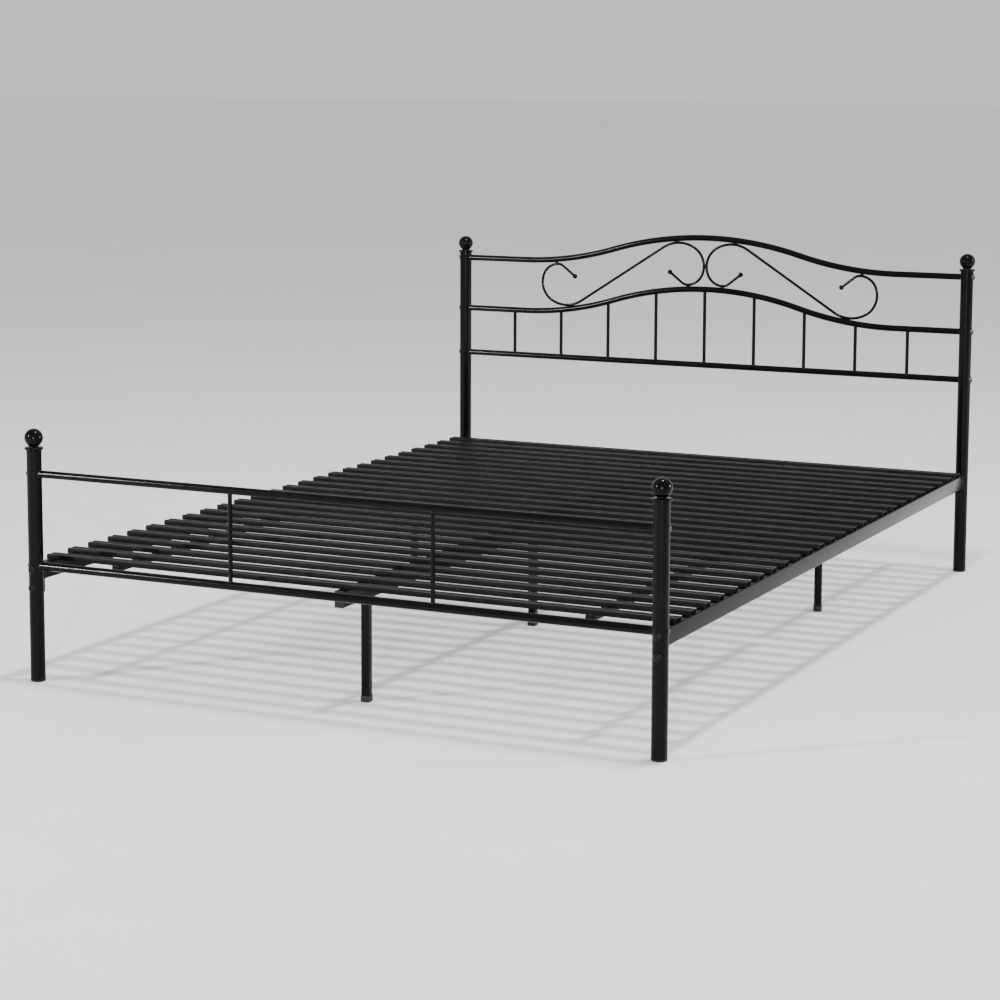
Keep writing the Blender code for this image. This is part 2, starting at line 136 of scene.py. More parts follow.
class BedBaseSettings(bpy.types.PropertyGroup):
    """Sizes of the side rails, beam, legs and slats."""

    edge_radius: FloatProperty(
        name="Tube edge radius", description="Rounding along the edges of the rectangular tubes",
        default=0.0024, subtype="DISTANCE",
    )
    saddle_plate: FloatProperty(
        name="Saddle plate", description="Thickness of the curved plate at a side rail's end",
        default=0.0030, subtype="DISTANCE",
    )
    saddle_spread: FloatProperty(
        name="Saddle spread", description="Angle that a saddle plate covers round its post",
        default=math.radians(68.0), subtype="ANGLE",
    )
    pad_height: FloatProperty(
        name="Leg cap height", description="Height of the plastic cap on an inner leg",
        default=0.014, subtype="DISTANCE",
    )
    slats_per_panel: IntProperty(
        name="Slats per panel", description="Number of slats in each half of the base",
        default=13, min=2,
    )
    slat_width: FloatProperty(
        name="Slat width", description="Width of a pressed slat", default=0.030, subtype="DISTANCE",
    )
    slat_height: FloatProperty(
        name="Slat height", description="Height of a pressed slat", default=0.010, subtype="DISTANCE",
    )
    slat_sheet: FloatProperty(
        name="Slat sheet", description="Sheet thickness of a slat", default=0.0012, subtype="DISTANCE",
    )
    stringer_overhang: FloatProperty(
        name="Stringer overhang", description="Length of a long tube past the middle of its last slat",
        default=0.017, subtype="DISTANCE",
    )
    stringer_width: FloatProperty(
        name="Stringer width", description="Width of the long tubes under the slats",
        default=0.020, subtype="DISTANCE",
    )
    stringer_x: FloatProperty(
        name="Stringer place", description="Distance of a long tube from the bed's middle",
        default=0.543, subtype="DISTANCE",
    )


class BedFinishSettings(bpy.types.PropertyGroup):
    """Colours and gloss of the finishes."""

    paint: FloatVectorProperty(
        name="Paint", description="Colour of the powder coat",
        default=(0.0016, 0.0016, 0.0018), size=3, subtype="COLOR",
    )
    paint_roughness: FloatProperty(
        name="Paint roughness", description="Middle roughness of the powder coat",
        default=0.14, subtype="FACTOR",
    )
    plastic: FloatVectorProperty(
        name="Plastic", description="Colour of the plastic caps",
        default=(0.0075, 0.0075, 0.0075), size=3, subtype="COLOR",
    )
    zinc: FloatVectorProperty(
        name="Zinc", description="Colour of the zinc on the cross bolts",
        default=(0.060, 0.059, 0.056), size=3, subtype="COLOR",
    )
    black_zinc: FloatVectorProperty(
        name="Black zinc", description="Colour of the black zinc on the side bolts",
        default=(0.018, 0.018, 0.019), size=3, subtype="COLOR",
    )


class BedStageSettings(bpy.types.PropertyGroup):
    """Camera, floor and lights."""

    floor: FloatVectorProperty(
        name="Floor", description="Colour of the floor",
        default=(0.90, 0.90, 0.895), size=3, subtype="COLOR",
    )
    sky: FloatProperty(name="Room light", description="Strength of the even light of the room", default=0.78)
    eye: FloatVectorProperty(
        name="Camera place", description="Where the camera stands", default=(2.5269, -5.5651, 1.3287),
        size=3, subtype="TRANSLATION",
    )
    heading: FloatProperty(
        name="Camera heading", description="Turn of the camera to the left of the bed's length",
        default=0.4622, subtype="ANGLE",
    )
    tilt: FloatProperty(
        name="Camera tilt", description="How far the camera looks down", default=0.1311,
        subtype="ANGLE",
    )
    roll: FloatProperty(
        name="Camera roll", description="Turn of the camera about its own axis",
        default=0.0012, subtype="ANGLE",
    )
    lens: FloatProperty(name="Lens", description="Focal length in millimetres", default=95.25)
    shift: FloatVectorProperty(
        name="Lens shift", description="Shift of the lens to the side and upwards",
        default=(0.05, -0.10), size=2,
    )


# Materials.


def node(tree, kind, **values):
    """Add a shader node; values set its properties, or its inputs by name."""
    made = tree.nodes.new(kind)
    for key, value in values.items():
        if hasattr(made, key):
            setattr(made, key, value)
        else:
            made.inputs[key.replace("_", " ")].default_value = value
    return made


def start_material(name, colour, metallic, roughness):
    """A Principled material with object coordinates ready for its textures."""
    made = bpy.data.materials.new(name)
    made.use_nodes = True
    tree = made.node_tree
    shader = tree.nodes["Principled BSDF"]
    shader.inputs["Base Color"].default_value = (*colour, 1.0)
    shader.inputs["Metallic"].default_value = metallic
    shader.inputs["Roughness"].default_value = roughness
    coordinates = tree.nodes.new("ShaderNodeTexCoord")
    return made, tree, shader, coordinates.outputs["Object"]


def speckle(tree, coordinates, scale, detail=3.0, roughness=0.5):
    """Noise over the object's own coordinates."""
    texture = node(tree, "ShaderNodeTexNoise", Scale=scale, Detail=detail, Roughness=roughness)
    tree.links.new(coordinates, texture.inputs["Vector"])
    return texture.outputs["Fac"]


def vary_colour(tree, shader, factor, low, high):
    """Let the base colour drift between two colours."""
    ramp = tree.nodes.new("ShaderNodeValToRGB")
    ramp.color_ramp.elements[0].position = 0.35
    ramp.color_ramp.elements[1].position = 0.68
    ramp.color_ramp.elements[0].color = (*low, 1.0)
    ramp.color_ramp.elements[1].color = (*high, 1.0)
    tree.links.new(factor, ramp.inputs["Fac"])
    tree.links.new(ramp.outputs["Color"], shader.inputs["Base Color"])


def vary_roughness(tree, shader, factor, low, high):
    """Let the roughness drift between two values."""
    spread = node(tree, "ShaderNodeMapRange", From_Min=0.3, From_Max=0.7, To_Min=low, To_Max=high)
    tree.links.new(factor, spread.inputs["Value"])
    tree.links.new(spread.outputs["Result"], shader.inputs["Roughness"])


def add_bump(tree, shader, heights, strength, distance):
    """Bump from one or two height fields added together."""
    height = heights[0]
    if len(heights) > 1:
        total = node(tree, "ShaderNodeMath", operation="ADD")
        tree.links.new(heights[0], total.inputs[0])
        tree.links.new(heights[1], total.inputs[1])
        height = total.outputs[0]
    bump = node(tree, "ShaderNodeBump", Strength=strength, Distance=distance)
    tree.links.new(height, bump.inputs["Height"])
    tree.links.new(bump.outputs["Normal"], shader.inputs["Normal"])


def lighter(colour, amount):
    """The colour with each channel multiplied by the amount."""
    return tuple(channel * amount for channel in colour)


def powder_coat():
    """Glossy black powder coat: fine orange peel, slight haze and handling marks."""
    finish = bpy.context.scene.bed_finish
    made, tree, shader, place = start_material(
        "powder_coat", finish.paint, 0.0, finish.paint_roughness
    )
    shader.inputs["Specular IOR Level"].default_value = 0.10
    haze = speckle(tree, place, 14.0, 4.0, 0.6)
    vary_colour(tree, shader, haze, lighter(finish.paint, 0.75), lighter(finish.paint, 1.5))
    marks = speckle(tree, place, 60.0, 6.0, 0.65)
    low = finish.paint_roughness - 0.04
    vary_roughness(tree, shader, marks, low, finish.paint_roughness + 0.05)
    peel = speckle(tree, place, 420.0, 2.0)
    swell = speckle(tree, place, 90.0, 1.0)
    add_bump(tree, shader, [peel, swell], 0.05, 0.0004)
    return made


def slat_coat():
    """Flatter black coat on the pressed slats, with a little dust on it."""
    finish = bpy.context.scene.bed_finish
    made, tree, shader, place = start_material("slat_coat", finish.paint, 0.0, 0.42)
    shader.inputs["Specular IOR Level"].default_value = 0.12
    dust = speckle(tree, place, 8.0, 5.0, 0.7)
    vary_colour(tree, shader, dust, lighter(finish.paint, 1.0), lighter(finish.paint, 2.4))
    marks = speckle(tree, place, 45.0, 6.0, 0.7)
    vary_roughness(tree, shader, marks, 0.34, 0.54)
    add_bump(tree, shader, [speckle(tree, place, 380.0, 2.0)], 0.06, 0.0004)
    return made


def weld_coat():
    """Powder coat over rippled weld metal."""
    finish = bpy.context.scene.bed_finish
    made, tree, shader, place = start_material("weld_coat", finish.paint, 0.0, 0.32)
    shader.inputs["Specular IOR Level"].default_value = 0.25
    vary_colour(
        tree, shader, speckle(tree, place, 120.0), lighter(finish.paint, 0.8), lighter(finish.paint, 1.8)
    )
    vary_roughness(tree, shader, speckle(tree, place, 260.0), 0.26, 0.42)
    add_bump(tree, shader, [speckle(tree, place, 700.0, 3.0)], 0.25, 0.0006)
    return made


def cap_plastic():
    """Moulded black plastic with a fine grain and scuffs."""
    finish = bpy.context.scene.bed_finish
    made, tree, shader, place = start_material("cap_plastic", finish.plastic, 0.0, 0.5)
    shader.inputs["Specular IOR Level"].default_value = 0.24
    scuffs = speckle(tree, place, 75.0, 6.0, 0.75)
    vary_colour(tree, shader, scuffs, lighter(finish.plastic, 0.9), lighter(finish.plastic, 2.2))
    vary_roughness(tree, shader, scuffs, 0.42, 0.62)
    grain = node(tree, "ShaderNodeTexVoronoi", Scale=1500.0)
    tree.links.new(place, grain.inputs["Vector"])
    add_bump(tree, shader, [grain.outputs["Distance"]], 0.12, 0.0003)
    return made


def plated(name, colour, low, high):
    """Zinc plating: clouded metal with fine turning marks."""
    made, tree, shader, place = start_material(name, colour, 1.0, (low + high) / 2.0)
    clouds = speckle(tree, place, 160.0, 4.0, 0.6)
    vary_colour(tree, shader, clouds, lighter(colour, 0.7), lighter(colour, 1.35))
    vary_roughness(tree, shader, speckle(tree, place, 240.0, 5.0, 0.7), low, high)
    add_bump(tree, shader, [speckle(tree, place, 1100.0, 3.0)], 0.12, 0.0003)
    return made


def floor_finish():
    """Pale matt floor with very faint clouds."""
    colour = bpy.context.scene.bed_stage.floor
    made, tree, shader, place = start_material("floor_finish", colour, 0.0, 0.62)
    shader.inputs["Specular IOR Level"].default_value = 0.25
    vary_colour(tree, shader, speckle(tree, place, 1.6, 4.0), lighter(colour, 0.985), lighter(colour, 1.01))
    vary_roughness(tree, shader, speckle(tree, place, 9.0, 4.0), 0.55, 0.7)
    return made


def finish_named(name):
    """Find a finish, or make it the first time that it is needed."""
    made = bpy.data.materials.get(name)
    if made is not None:
        return made
    colours = bpy.context.scene.bed_finish
    if name == "powder_coat":
        return powder_coat()
    if name == "slat_coat":
        return slat_coat()
    if name == "weld_coat":
        return weld_coat()
    if name == "cap_plastic":
        return cap_plastic()
    if name == "zinc_plate":
        return plated(name, colours.zinc, 0.30, 0.46)
    if name == "black_zinc_plate":
        return plated(name, colours.black_zinc, 0.32, 0.48)
    return floor_finish()


# Mesh tools.


def ring_faces(shape, rings, around=True, along=False):
    """Join rings of points with quads; a ring of one point closes to a tip."""
    rows = [[shape.verts.new(point) for point in ring] for ring in rings]
    pairs = list(zip(rows, rows[1:]))
    if along:
        pairs.append((rows[-1], rows[0]))
    for near, far in pairs:
        count = max(len(near), len(far))
        last = count if around else count - 1
        for i in range(last):
            j = (i + 1) % count
            corners = []
            for row, k in ((near, i), (near, j), (far, j), (far, i)):
                corner = row[k % len(row)] if len(row) > 1 else row[0]
                if corner not in corners:
                    corners.append(corner)
            shape.faces.new(corners)
    return rows


def lathe(shape, profile, place=Matrix(), sides=64, along=False):
    """Turn (radius, height) points about the place's own Z."""
    rings = []
    for radius, height in profile:
        if radius < 1e-6:
            rings.append([place @ Vector((0.0, 0.0, height))])
            continue
        ring = []
        for i in range(sides):
            turn = 2.0 * math.pi * i / sides
            ring.append(place @ Vector((radius * math.cos(turn), radius * math.sin(turn), height)))
        rings.append(ring)
    ring_faces(shape, rings, along=along)


def sweep(shape, path, radius, sides=28, across=Vector((0.0, 1.0, 0.0))):
    """Round rod along a path that lies in the plane across faces."""
    rings = []
    last = len(path) - 1
    for i, point in enumerate(path):
        ahead = path[min(i + 1, last)]
        behind = path[max(i - 1, 0)]
        along = (ahead - behind).normalized()
        up = along.cross(across).normalized()
        ring = []
        for k in range(sides):
            turn = 2.0 * math.pi * k / sides
            ring.append(point + radius * (math.cos(turn) * across + math.sin(turn) * up))
        rings.append(ring)
    rows = ring_faces(shape, rings)
    shape.faces.new(rows[0])
    shape.faces.new(list(reversed(rows[-1])))


def rounded_box(shape, low, high, radius, steps=4):
    """Box between two corners with all its edges rounded."""
    size = high - low
    place = Matrix.Translation((low + high) / 2.0) @ Matrix.Diagonal((*size, 1.0))
    made = bmesh.ops.create_cube(shape, size=1.0, matrix=place)
    edges = list({edge for corner in made["verts"] for edge in corner.link_edges})
    bmesh.ops.bevel(
        shape, geom=edges, offset=radius, segments=steps, profile=0.5, affect="EDGES", clamp_overlap=True
    )


def ball(shape, centre, radius, rings=20, sides=28):
    """Sphere made of turned rings."""
    profile = []
    for i in range(rings + 1):
        turn = math.pi * i / rings
        profile.append((radius * math.sin(turn), radius * math.cos(turn)))
    profile[0] = (0.0, radius)
    profile[-1] = (0.0, -radius)
    lathe(shape, profile, Matrix.Translation(centre), sides)


def round_corner(profile, centre, radius, start, end, steps=6):
    """Add an arc to a turned profile, with its angles from the radial direction."""
    for i in range(steps + 1):
        turn = math.radians(start + (end - start) * i / steps)
        profile.append((centre[0] + radius * math.cos(turn), centre[1] + radius * math.sin(turn)))


def make_piece(name, shape, finish, nodes=(), sharp=38.0):
    """Turn a bmesh into a piece that rides on the frame, in place of its nodes."""
    bmesh.ops.recalc_face_normals(shape, faces=shape.faces)
    mesh = bpy.data.meshes.new(name)
    shape.to_mesh(mesh)
    shape.free()
    mesh.shade_smooth()
    mesh.set_sharp_from_angle(angle=math.radians(sharp))
    mesh.materials.append(finish_named(finish))
    piece = bpy.data.objects.new(name, mesh)
    bpy.context.scene.collection.objects.link(piece)
    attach(piece, "root")
    if nodes:
        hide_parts(*nodes)
    return piece


def node_box(name):
    """Lowest and highest corner of a CAD node."""
    low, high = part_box(name)
    return Vector(low), Vector(high)


def node_middle(name):
    """Middle of a CAD node's box."""
    low, high = node_box(name)
    return (low + high) / 2.0


def places():
    """Name and (x, y) of each corner."""
    found = []
    for end in ENDS:
        for side in SIDES:
            name = end + "_" + side
            middle = node_middle("post_" + name)
            found.append((name, middle.x, middle.y))
    return found


def rail_ends(name):
    """Left and right ends of a cross rail's tube, inside the post's skin."""
    end = "head" if name.startswith("head") else "foot"
    seat = bpy.context.scene.bed_tubes.rail_seat
    left = node_middle("post_" + end + "_left")
    right = node_middle("post_" + end + "_right")
    return left.x + seat, right.x - seat, left.y


def arch_shape(name):
    """Rod radius, end height and crown height of an arched rail."""
    low, high = node_box(name)
    radius = (high.y - low.y) / 2.0
    return radius, low.z + radius, high.z - radius


def arch_height(x, end_z, crown_z):
    """Height of an arch's centre line: crown arc, valley arc, then flat."""
    span = bpy.context.scene.bed_tubes.arch_half_span
    rise = crown_z - end_z
    half = span / 2.0
    radius = half * half / rise + rise / 4.0
    reach = abs(x)
    if reach >= span:
        return end_z
    if reach <= half:
        return crown_z - radius + math.sqrt(radius * radius - reach * reach)
    return end_z + radius - math.sqrt(radius * radius - (span - reach) ** 2)


def arch_slope(x, end_z, crown_z):
    """Rise of an arch's centre line for each metre along the bed's width."""
    step = MILLIMETRE
    rise = arch_height(x + step, end_z, crown_z) - arch_height(x - step, end_z, crown_z)
    return rise / (2.0 * step)


# Posts, caps and finials.


def build_posts():
    """Tube with a rolled top band and softened ends."""
    sizes = bpy.context.scene.bed_tubes
    outer = sizes.post_radius
    inner = outer - sizes.tube_wall
    band_edge = 0.0007
    band_stand = 0.0004
    foot_edge = 0.0006
    edge_run = 0.002
    bore_run = 0.02
    middle = outer + band_stand - band_edge
    for name, x, y in places():
        low, high = node_box("post_" + name)
        band = high.z - sizes.band_height
        profile = [(inner, high.z)]
        round_corner(profile, (middle, high.z - band_edge), band_edge, 90.0, 0.0)
        round_corner(profile, (middle, band + 0.0006), band_edge, 0.0, -70.0)
        profile += [(outer, band), (outer, band - edge_run), (outer, low.z + edge_run)]
        round_corner(profile, (outer - foot_edge, low.z + foot_edge), foot_edge, 0.0, -90.0)
        profile += [(inner, low.z), (inner, low.z + bore_run), (inner, high.z - bore_run)]
        shape = bmesh.new()
        lathe(shape, profile, Matrix.Translation((x, y, 0.0)), 72, along=True)
        make_piece("post_tube_" + name, shape, "powder_coat", ["post_" + name])


def build_foot_caps():
    """Plastic cap with a rounded sole and a plug inside the post."""
    sizes = bpy.context.scene.bed_tubes
    for name, x, y in places():
        low, high = node_box("foot_cap_" + name)
        outer = (high.x - low.x) / 2.0
        plug = sizes.post_radius - sizes.tube_wall - 0.0003
        sole = low.z + sizes.cap_sole
        top_edge = 0.0005
        sole_edge = 0.0022
        dish = 0.0005
        rim = outer - 0.006
        profile = [(0.0, high.z), (plug - 0.0012, high.z), (plug, high.z - 0.0015)]
        profile += [(plug, sole), (outer - 0.0004, sole)]
        round_corner(profile, (outer - top_edge, sole - top_edge), top_edge, 90.0, 0.0, 3)
        round_corner(profile, (outer - sole_edge, low.z + sole_edge), sole_edge, 0.0, -90.0)
        profile += [(rim, low.z), (rim - 0.0004, low.z + dish), (0.0, low.z + dish)]
        shape = bmesh.new()
        lathe(shape, profile, Matrix.Translation((x, y, 0.0)), 64)
        make_piece("post_cap_" + name, shape, "cap_plastic", ["foot_cap_" + name])


def build_finials():
    """Turned ball on a beaded collar."""
    sizes = bpy.context.scene.bed_tubes
    for name, x, y in places():
        low, high = node_box("finial_" + name)
        seat = node_box("post_" + name)[1].z + 0.0002
        centre = high.z - sizes.ball_radius
        bead = (centre - sizes.ball_radius - seat) / 2.0 + 0.0003
        neck = 180.0 - math.degrees(math.asin(sizes.neck_radius / sizes.ball_radius))
        profile = []
        round_corner(profile, (0.0, centre), sizes.ball_radius, 90.0, 90.0 - neck, 30)
        profile[0] = (0.0, high.z)
        edge = seat + 2.0 * bead
        profile.append((sizes.neck_radius - 0.0002, (profile[-1][1] + edge) / 2.0))
        profile.append((sizes.neck_radius + 0.0004, edge + 0.0001))
        round_corner(profile, (sizes.collar_radius - bead, seat + bead), bead, 90.0, -90.0, 12)
        profile += [(sizes.post_radius - 0.002, seat), (sizes.post_radius - 0.0022, low.z), (0.0, low.z)]
        shape = bmesh.new()
        lathe(shape, profile, Matrix.Translation((x, y, 0.0)), 72)
        make_piece("ball_finial_" + name, shape, "powder_coat", ["finial_" + name])


# Rails, arches, spindles and scrolls.


def build_cross_rails():
    """Straight round tubes between two posts."""
    for name in ("head_rail_low", "foot_rail_top", "foot_rail_low"):
        low, high = node_box(name)
        radius = (high.z - low.z) / 2.0
        left, right, y = rail_ends(name)
        z = (low.z + high.z) / 2.0
        steps = 24
        path = [Vector((left + (right - left) * i / steps, y, z)) for i in range(steps + 1)]
        shape = bmesh.new()
        sweep(shape, path, radius, 48)
        make_piece(name + "_tube", shape, "powder_coat", [name])


def build_arches():
    """Bent tubes that rise to a crown in the middle."""
    for name in ("head_rail_mid_arch", "head_rail_top_arch"):
        radius, end_z, crown_z = arch_shape(name)
        left, right, y = rail_ends(name)
        steps = 150
        path = []
        for i in range(steps + 1):
            x = left + (right - left) * i / steps
            path.append(Vector((x, y, arch_height(x, end_z, crown_z))))
        shape = bmesh.new()
        sweep(shape, path, radius, 48)
        make_piece(name + "_tube", shape, "powder_coat", [name])


def build_spindles():
    """Round bars whose ends run into the rails above and below."""
    names = sorted(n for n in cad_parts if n.startswith(("head_spindle", "foot_spindle")))
    for name in names:
        low, high = node_box(name)
        radius = (high.x - low.x) / 2.0
        middle = (low + high) / 2.0
        bury = 0.003
        shape = bmesh.new()
        path = [
            Vector((middle.x, middle.y, low.z - bury)),
            Vector((middle.x, middle.y, middle.z)),
            Vector((middle.x, middle.y, high.z + bury)),
        ]
        sweep(shape, path, radius, 36)
        make_piece(name + "_bar", shape, "powder_coat", [name])


SCROLL_LEAN = math.radians(32.8)
SCROLL_STRAIGHT = 0.1427
SCROLL_BENDS = (
    (0.083, math.radians(-30.0)),
    (0.058, math.radians(-110.0)),
    (0.046, math.radians(-180.0)),
    (0.025, math.radians(-218.0)),
)
SCROLL_TAIL = 0.0435


def scroll_half():
    """Half of a scroll, from its middle to one ball: a straight, bends and a tail."""
    heading = SCROLL_LEAN
    x = SCROLL_STRAIGHT * math.cos(heading)
    z = SCROLL_STRAIGHT * math.sin(heading)
    points = [(x * i / 6.0, z * i / 6.0) for i in range(1, 7)]
    for radius, end in SCROLL_BENDS:
        centre_x = x + radius * math.sin(heading)
        centre_z = z - radius * math.cos(heading)
        steps = math.ceil((heading - end) / math.radians(3.0))
        for i in range(1, steps + 1):
            turn = heading + (end - heading) * i / steps
            points.append((centre_x - radius * math.sin(turn), centre_z + radius * math.cos(turn)))
        x, z = points[-1]
        heading = end
    for i in range(1, 7):
        along = SCROLL_TAIL * i / 6.0
        points.append((x + along * math.cos(heading), z + along * math.sin(heading)))
    return points


def scroll_path(name):
    """Centre line of one scroll, from its outer ball to its inner one."""
    side = -1.0 if name.endswith("left") else 1.0
    middle = node_middle(name)
    half = scroll_half()
    around = [(-x, -z) for x, z in reversed(half)] + [(0.0, 0.0)] + half
    return [Vector((middle.x - side * x, middle.y, middle.z + z)) for x, z in around]


def build_scrolls():
    """S-shaped rods with a ball on each end."""
    sizes = bpy.context.scene.bed_tubes
    for name in ("scroll_left", "scroll_right"):
        path = scroll_path(name)
        shape = bmesh.new()
        sweep(shape, path, sizes.scroll_rod, 24)
        for end in (path[0], path[-1]):
            ball(shape, end, sizes.scroll_ball)
        make_piece(name + "_rod", shape, "powder_coat", [name])


# Welds.


def weld_collar(shape, centre, up, bar_radius, rail_radius, slope, turned=Matrix.Identity(3)):
    """Rippled fillet where an upright bar meets a round rail; up is 1 or -1."""
    leg = bpy.context.scene.bed_tubes.weld_leg
    ripples = 11.0
    sunk = 0.0002
    sides = 56
    steps = 5
    rings = []
    for k in range(steps + 1):
        spread = k / steps
        ring = []
        for i in range(sides):
            turn = 2.0 * math.pi * i / sides
            ripple = 1.0 + 0.16 * math.sin(ripples * turn + centre.x * 40.0)
            reach = bar_radius + leg * ripple * spread
            lift = leg * ripple * (1.0 - math.sqrt(max(0.0, 1.0 - (1.0 - spread) ** 2)))
            x = reach * math.cos(turn)
            y = reach * math.sin(turn)
            top = math.sqrt(max(0.0, rail_radius * rail_radius - y * y))
            ring.append(centre + turned @ Vector((x, y, slope * x + up * (top + lift - sunk))))
        rings.append(ring)
    upward = turned @ Vector((0.0, 0.0, up))
    inner = [point - upward * 0.0015 for point in rings[-1]]
    deep = [point - upward * 0.0025 for point in rings[0]]
    ring_faces(shape, rings + [inner, deep], along=True)


def weld_tack(shape, centre, size, seed):
    """Small uneven lump of weld metal."""
    made = bmesh.ops.create_icosphere(shape, subdivisions=3, radius=1.0)
    for corner in made["verts"]:
        push = 1.0 + 0.16 * noise.noise(corner.co * 2.1 + Vector((seed, seed * 0.7, 0.0)))
        corner.co = centre + Vector(
            (corner.co.x * size.x * push, corner.co.y * size.y * push, corner.co.z * size.z * push)
        )


def build_spindle_welds():
    """A bead at each end of every spindle."""
    for end in ENDS:
        shape = bmesh.new()
        names = sorted(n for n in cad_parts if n.startswith(end + "_spindle"))
        rail = end + "_rail_low"
        rail_low, rail_high = node_box(rail)
        rail_radius = (rail_high.z - rail_low.z) / 2.0
        for name in names:
            low, high = node_box(name)
            radius = (high.x - low.x) / 2.0
            middle = (low + high) / 2.0
            foot = Vector((middle.x, middle.y, rail_low.z + rail_radius))
            weld_collar(shape, foot, 1.0, radius, rail_radius, 0.0)
            if end == "head":
                top_radius, end_z, crown_z = arch_shape("head_rail_mid_arch")
                slope = arch_slope(middle.x, end_z, crown_z)
                top = Vector((middle.x, middle.y, arch_height(middle.x, end_z, crown_z)))
            else:
                top_low, top_high = node_box("foot_rail_top")
                top_radius = (top_high.z - top_low.z) / 2.0
                slope = 0.0
                top = Vector((middle.x, middle.y, top_low.z + top_radius))
            weld_collar(shape, top, -1.0, radius, top_radius, slope)
        make_piece(end + "_spindle_welds", shape, "weld_coat", sharp=60.0)


def build_rail_beads():
    """A bead round each end of a cross rail, where it seats on its post."""
    post_radius = bpy.context.scene.bed_tubes.post_radius
    upright = Matrix(((0.0, 0.0, 1.0), (0.0, 1.0, 0.0), (1.0, 0.0, 0.0)))
    for end in ENDS:
        shape = bmesh.new()
        for name in sorted(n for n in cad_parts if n.startswith(end + "_rail")):
            radius, end_z, _ = arch_shape(name)
            for side, inward in (("left", 1.0), ("right", -1.0)):
                post = node_middle("post_" + end + "_" + side)
                centre = Vector((post.x, post.y, end_z))
                weld_collar(shape, centre, inward, radius, post_radius, 0.0, upright)
        make_piece(end + "_rail_beads", shape, "weld_coat", sharp=60.0)


def closest_touch(path, name):
    """Point of the scroll that comes nearest to an arched rail, for each half."""
    radius, end_z, crown_z = arch_shape(name)
    rod = bpy.context.scene.bed_tubes.scroll_rod
    touching = 0.003
    found = []
    half = len(path) // 2
    for part in (path[:half], path[half:]):
        best = None
        for point in part:
            apart = abs(arch_height(point.x, end_z, crown_z) - point.z) - radius - rod
            if best is None or apart < best[0]:
                best = (apart, point)
        if best[0] < touching:
            away = 1.0 if arch_height(best[1].x, end_z, crown_z) > best[1].z else -1.0
            found.append((best[1], away))
    return found


def build_scroll_welds():
    """Tacks where the scrolls touch the arches and each other."""
    rod = bpy.context.scene.bed_tubes.scroll_rod
    shape = bmesh.new()
    seed = 1.0
    tack = Vector((0.0052, 0.0026, 0.0018))
    meeting = []
    for name in ("scroll_left", "scroll_right"):
        path = scroll_path(name)
        for rail in ("head_rail_mid_arch", "head_rail_top_arch"):
            for point, away in closest_touch(path, rail):
                weld_tack(shape, point + Vector((0.0, 0.0, away * rod)), tack, seed)
                seed += 3.7
        meeting.append(min(path, key=lambda point: abs(point.x)))
    joint = (meeting[0] + meeting[1]) / 2.0
    weld_tack(shape, joint, Vector((0.0018, 0.0024, 0.0055)), seed)
    make_piece("scroll_welds", shape, "weld_coat", sharp=60.0)


# Side rails, beam and legs.


def saddle(shape, centre, facing, low_z, high_z):
    """Curved plate that seats on a post; facing is the way from post to rail."""
    sizes = bpy.context.scene.bed_base
    inner = bpy.context.scene.bed_tubes.post_radius + 0.0003
    outer = inner + sizes.saddle_plate
    soft = 0.0009
    steps = 24
    corners = [
        (inner, low_z + soft), (inner + soft, low_z), (outer - soft, low_z), (outer, low_z + soft),
        (outer, high_z - soft), (outer - soft, high_z), (inner + soft, high_z), (inner, high_z - soft),
    ]
    rings = []
    for i in range(steps + 1):
        turn = sizes.saddle_spread * (i / steps - 0.5)
        ring = []
        for radius, z in corners:
            x = centre.x + radius * math.sin(turn)
            y = centre.y + facing * radius * math.cos(turn)
            ring.append(Vector((x, y, z)))
        rings.append(ring)
    rows = ring_faces(shape, rings)
    shape.faces.new(rows[0])
    shape.faces.new(list(reversed(rows[-1])))


def seam_bead(shape, centre, width, height, radius, facing):
    """Rippled weld seam round the end of a rectangular tube."""
    half_x = width / 2.0
    half_z = height / 2.0
    spacing = 0.0012
    sides = 10
    corners = [Vector((x * half_x, 0.0, z * half_z)) for x, z in ((1, 1), (-1, 1), (-1, -1), (1, -1))]
    outline = []
    for a, b in zip(corners, corners[1:] + corners[:1]):
        count = max(8, int((b - a).length / spacing))
        outward = (a + b).normalized()
        outline.append((a, a.normalized()))
        outline += [(a.lerp(b, i / count), outward) for i in range(1, count)]
    rings = []
    for i, (point, out) in enumerate(outline):
        bulge = radius * (1.0 + 0.2 * math.sin(i * 1.9))
        ring = []
        for k in range(sides):
            turn = 2.0 * math.pi * k / sides
            offset = math.cos(turn) * out * bulge + Vector((0.0, facing * math.sin(turn) * bulge, 0.0))
            ring.append(centre + point + offset)
        rings.append(ring)
    ring_faces(shape, rings, along=True)


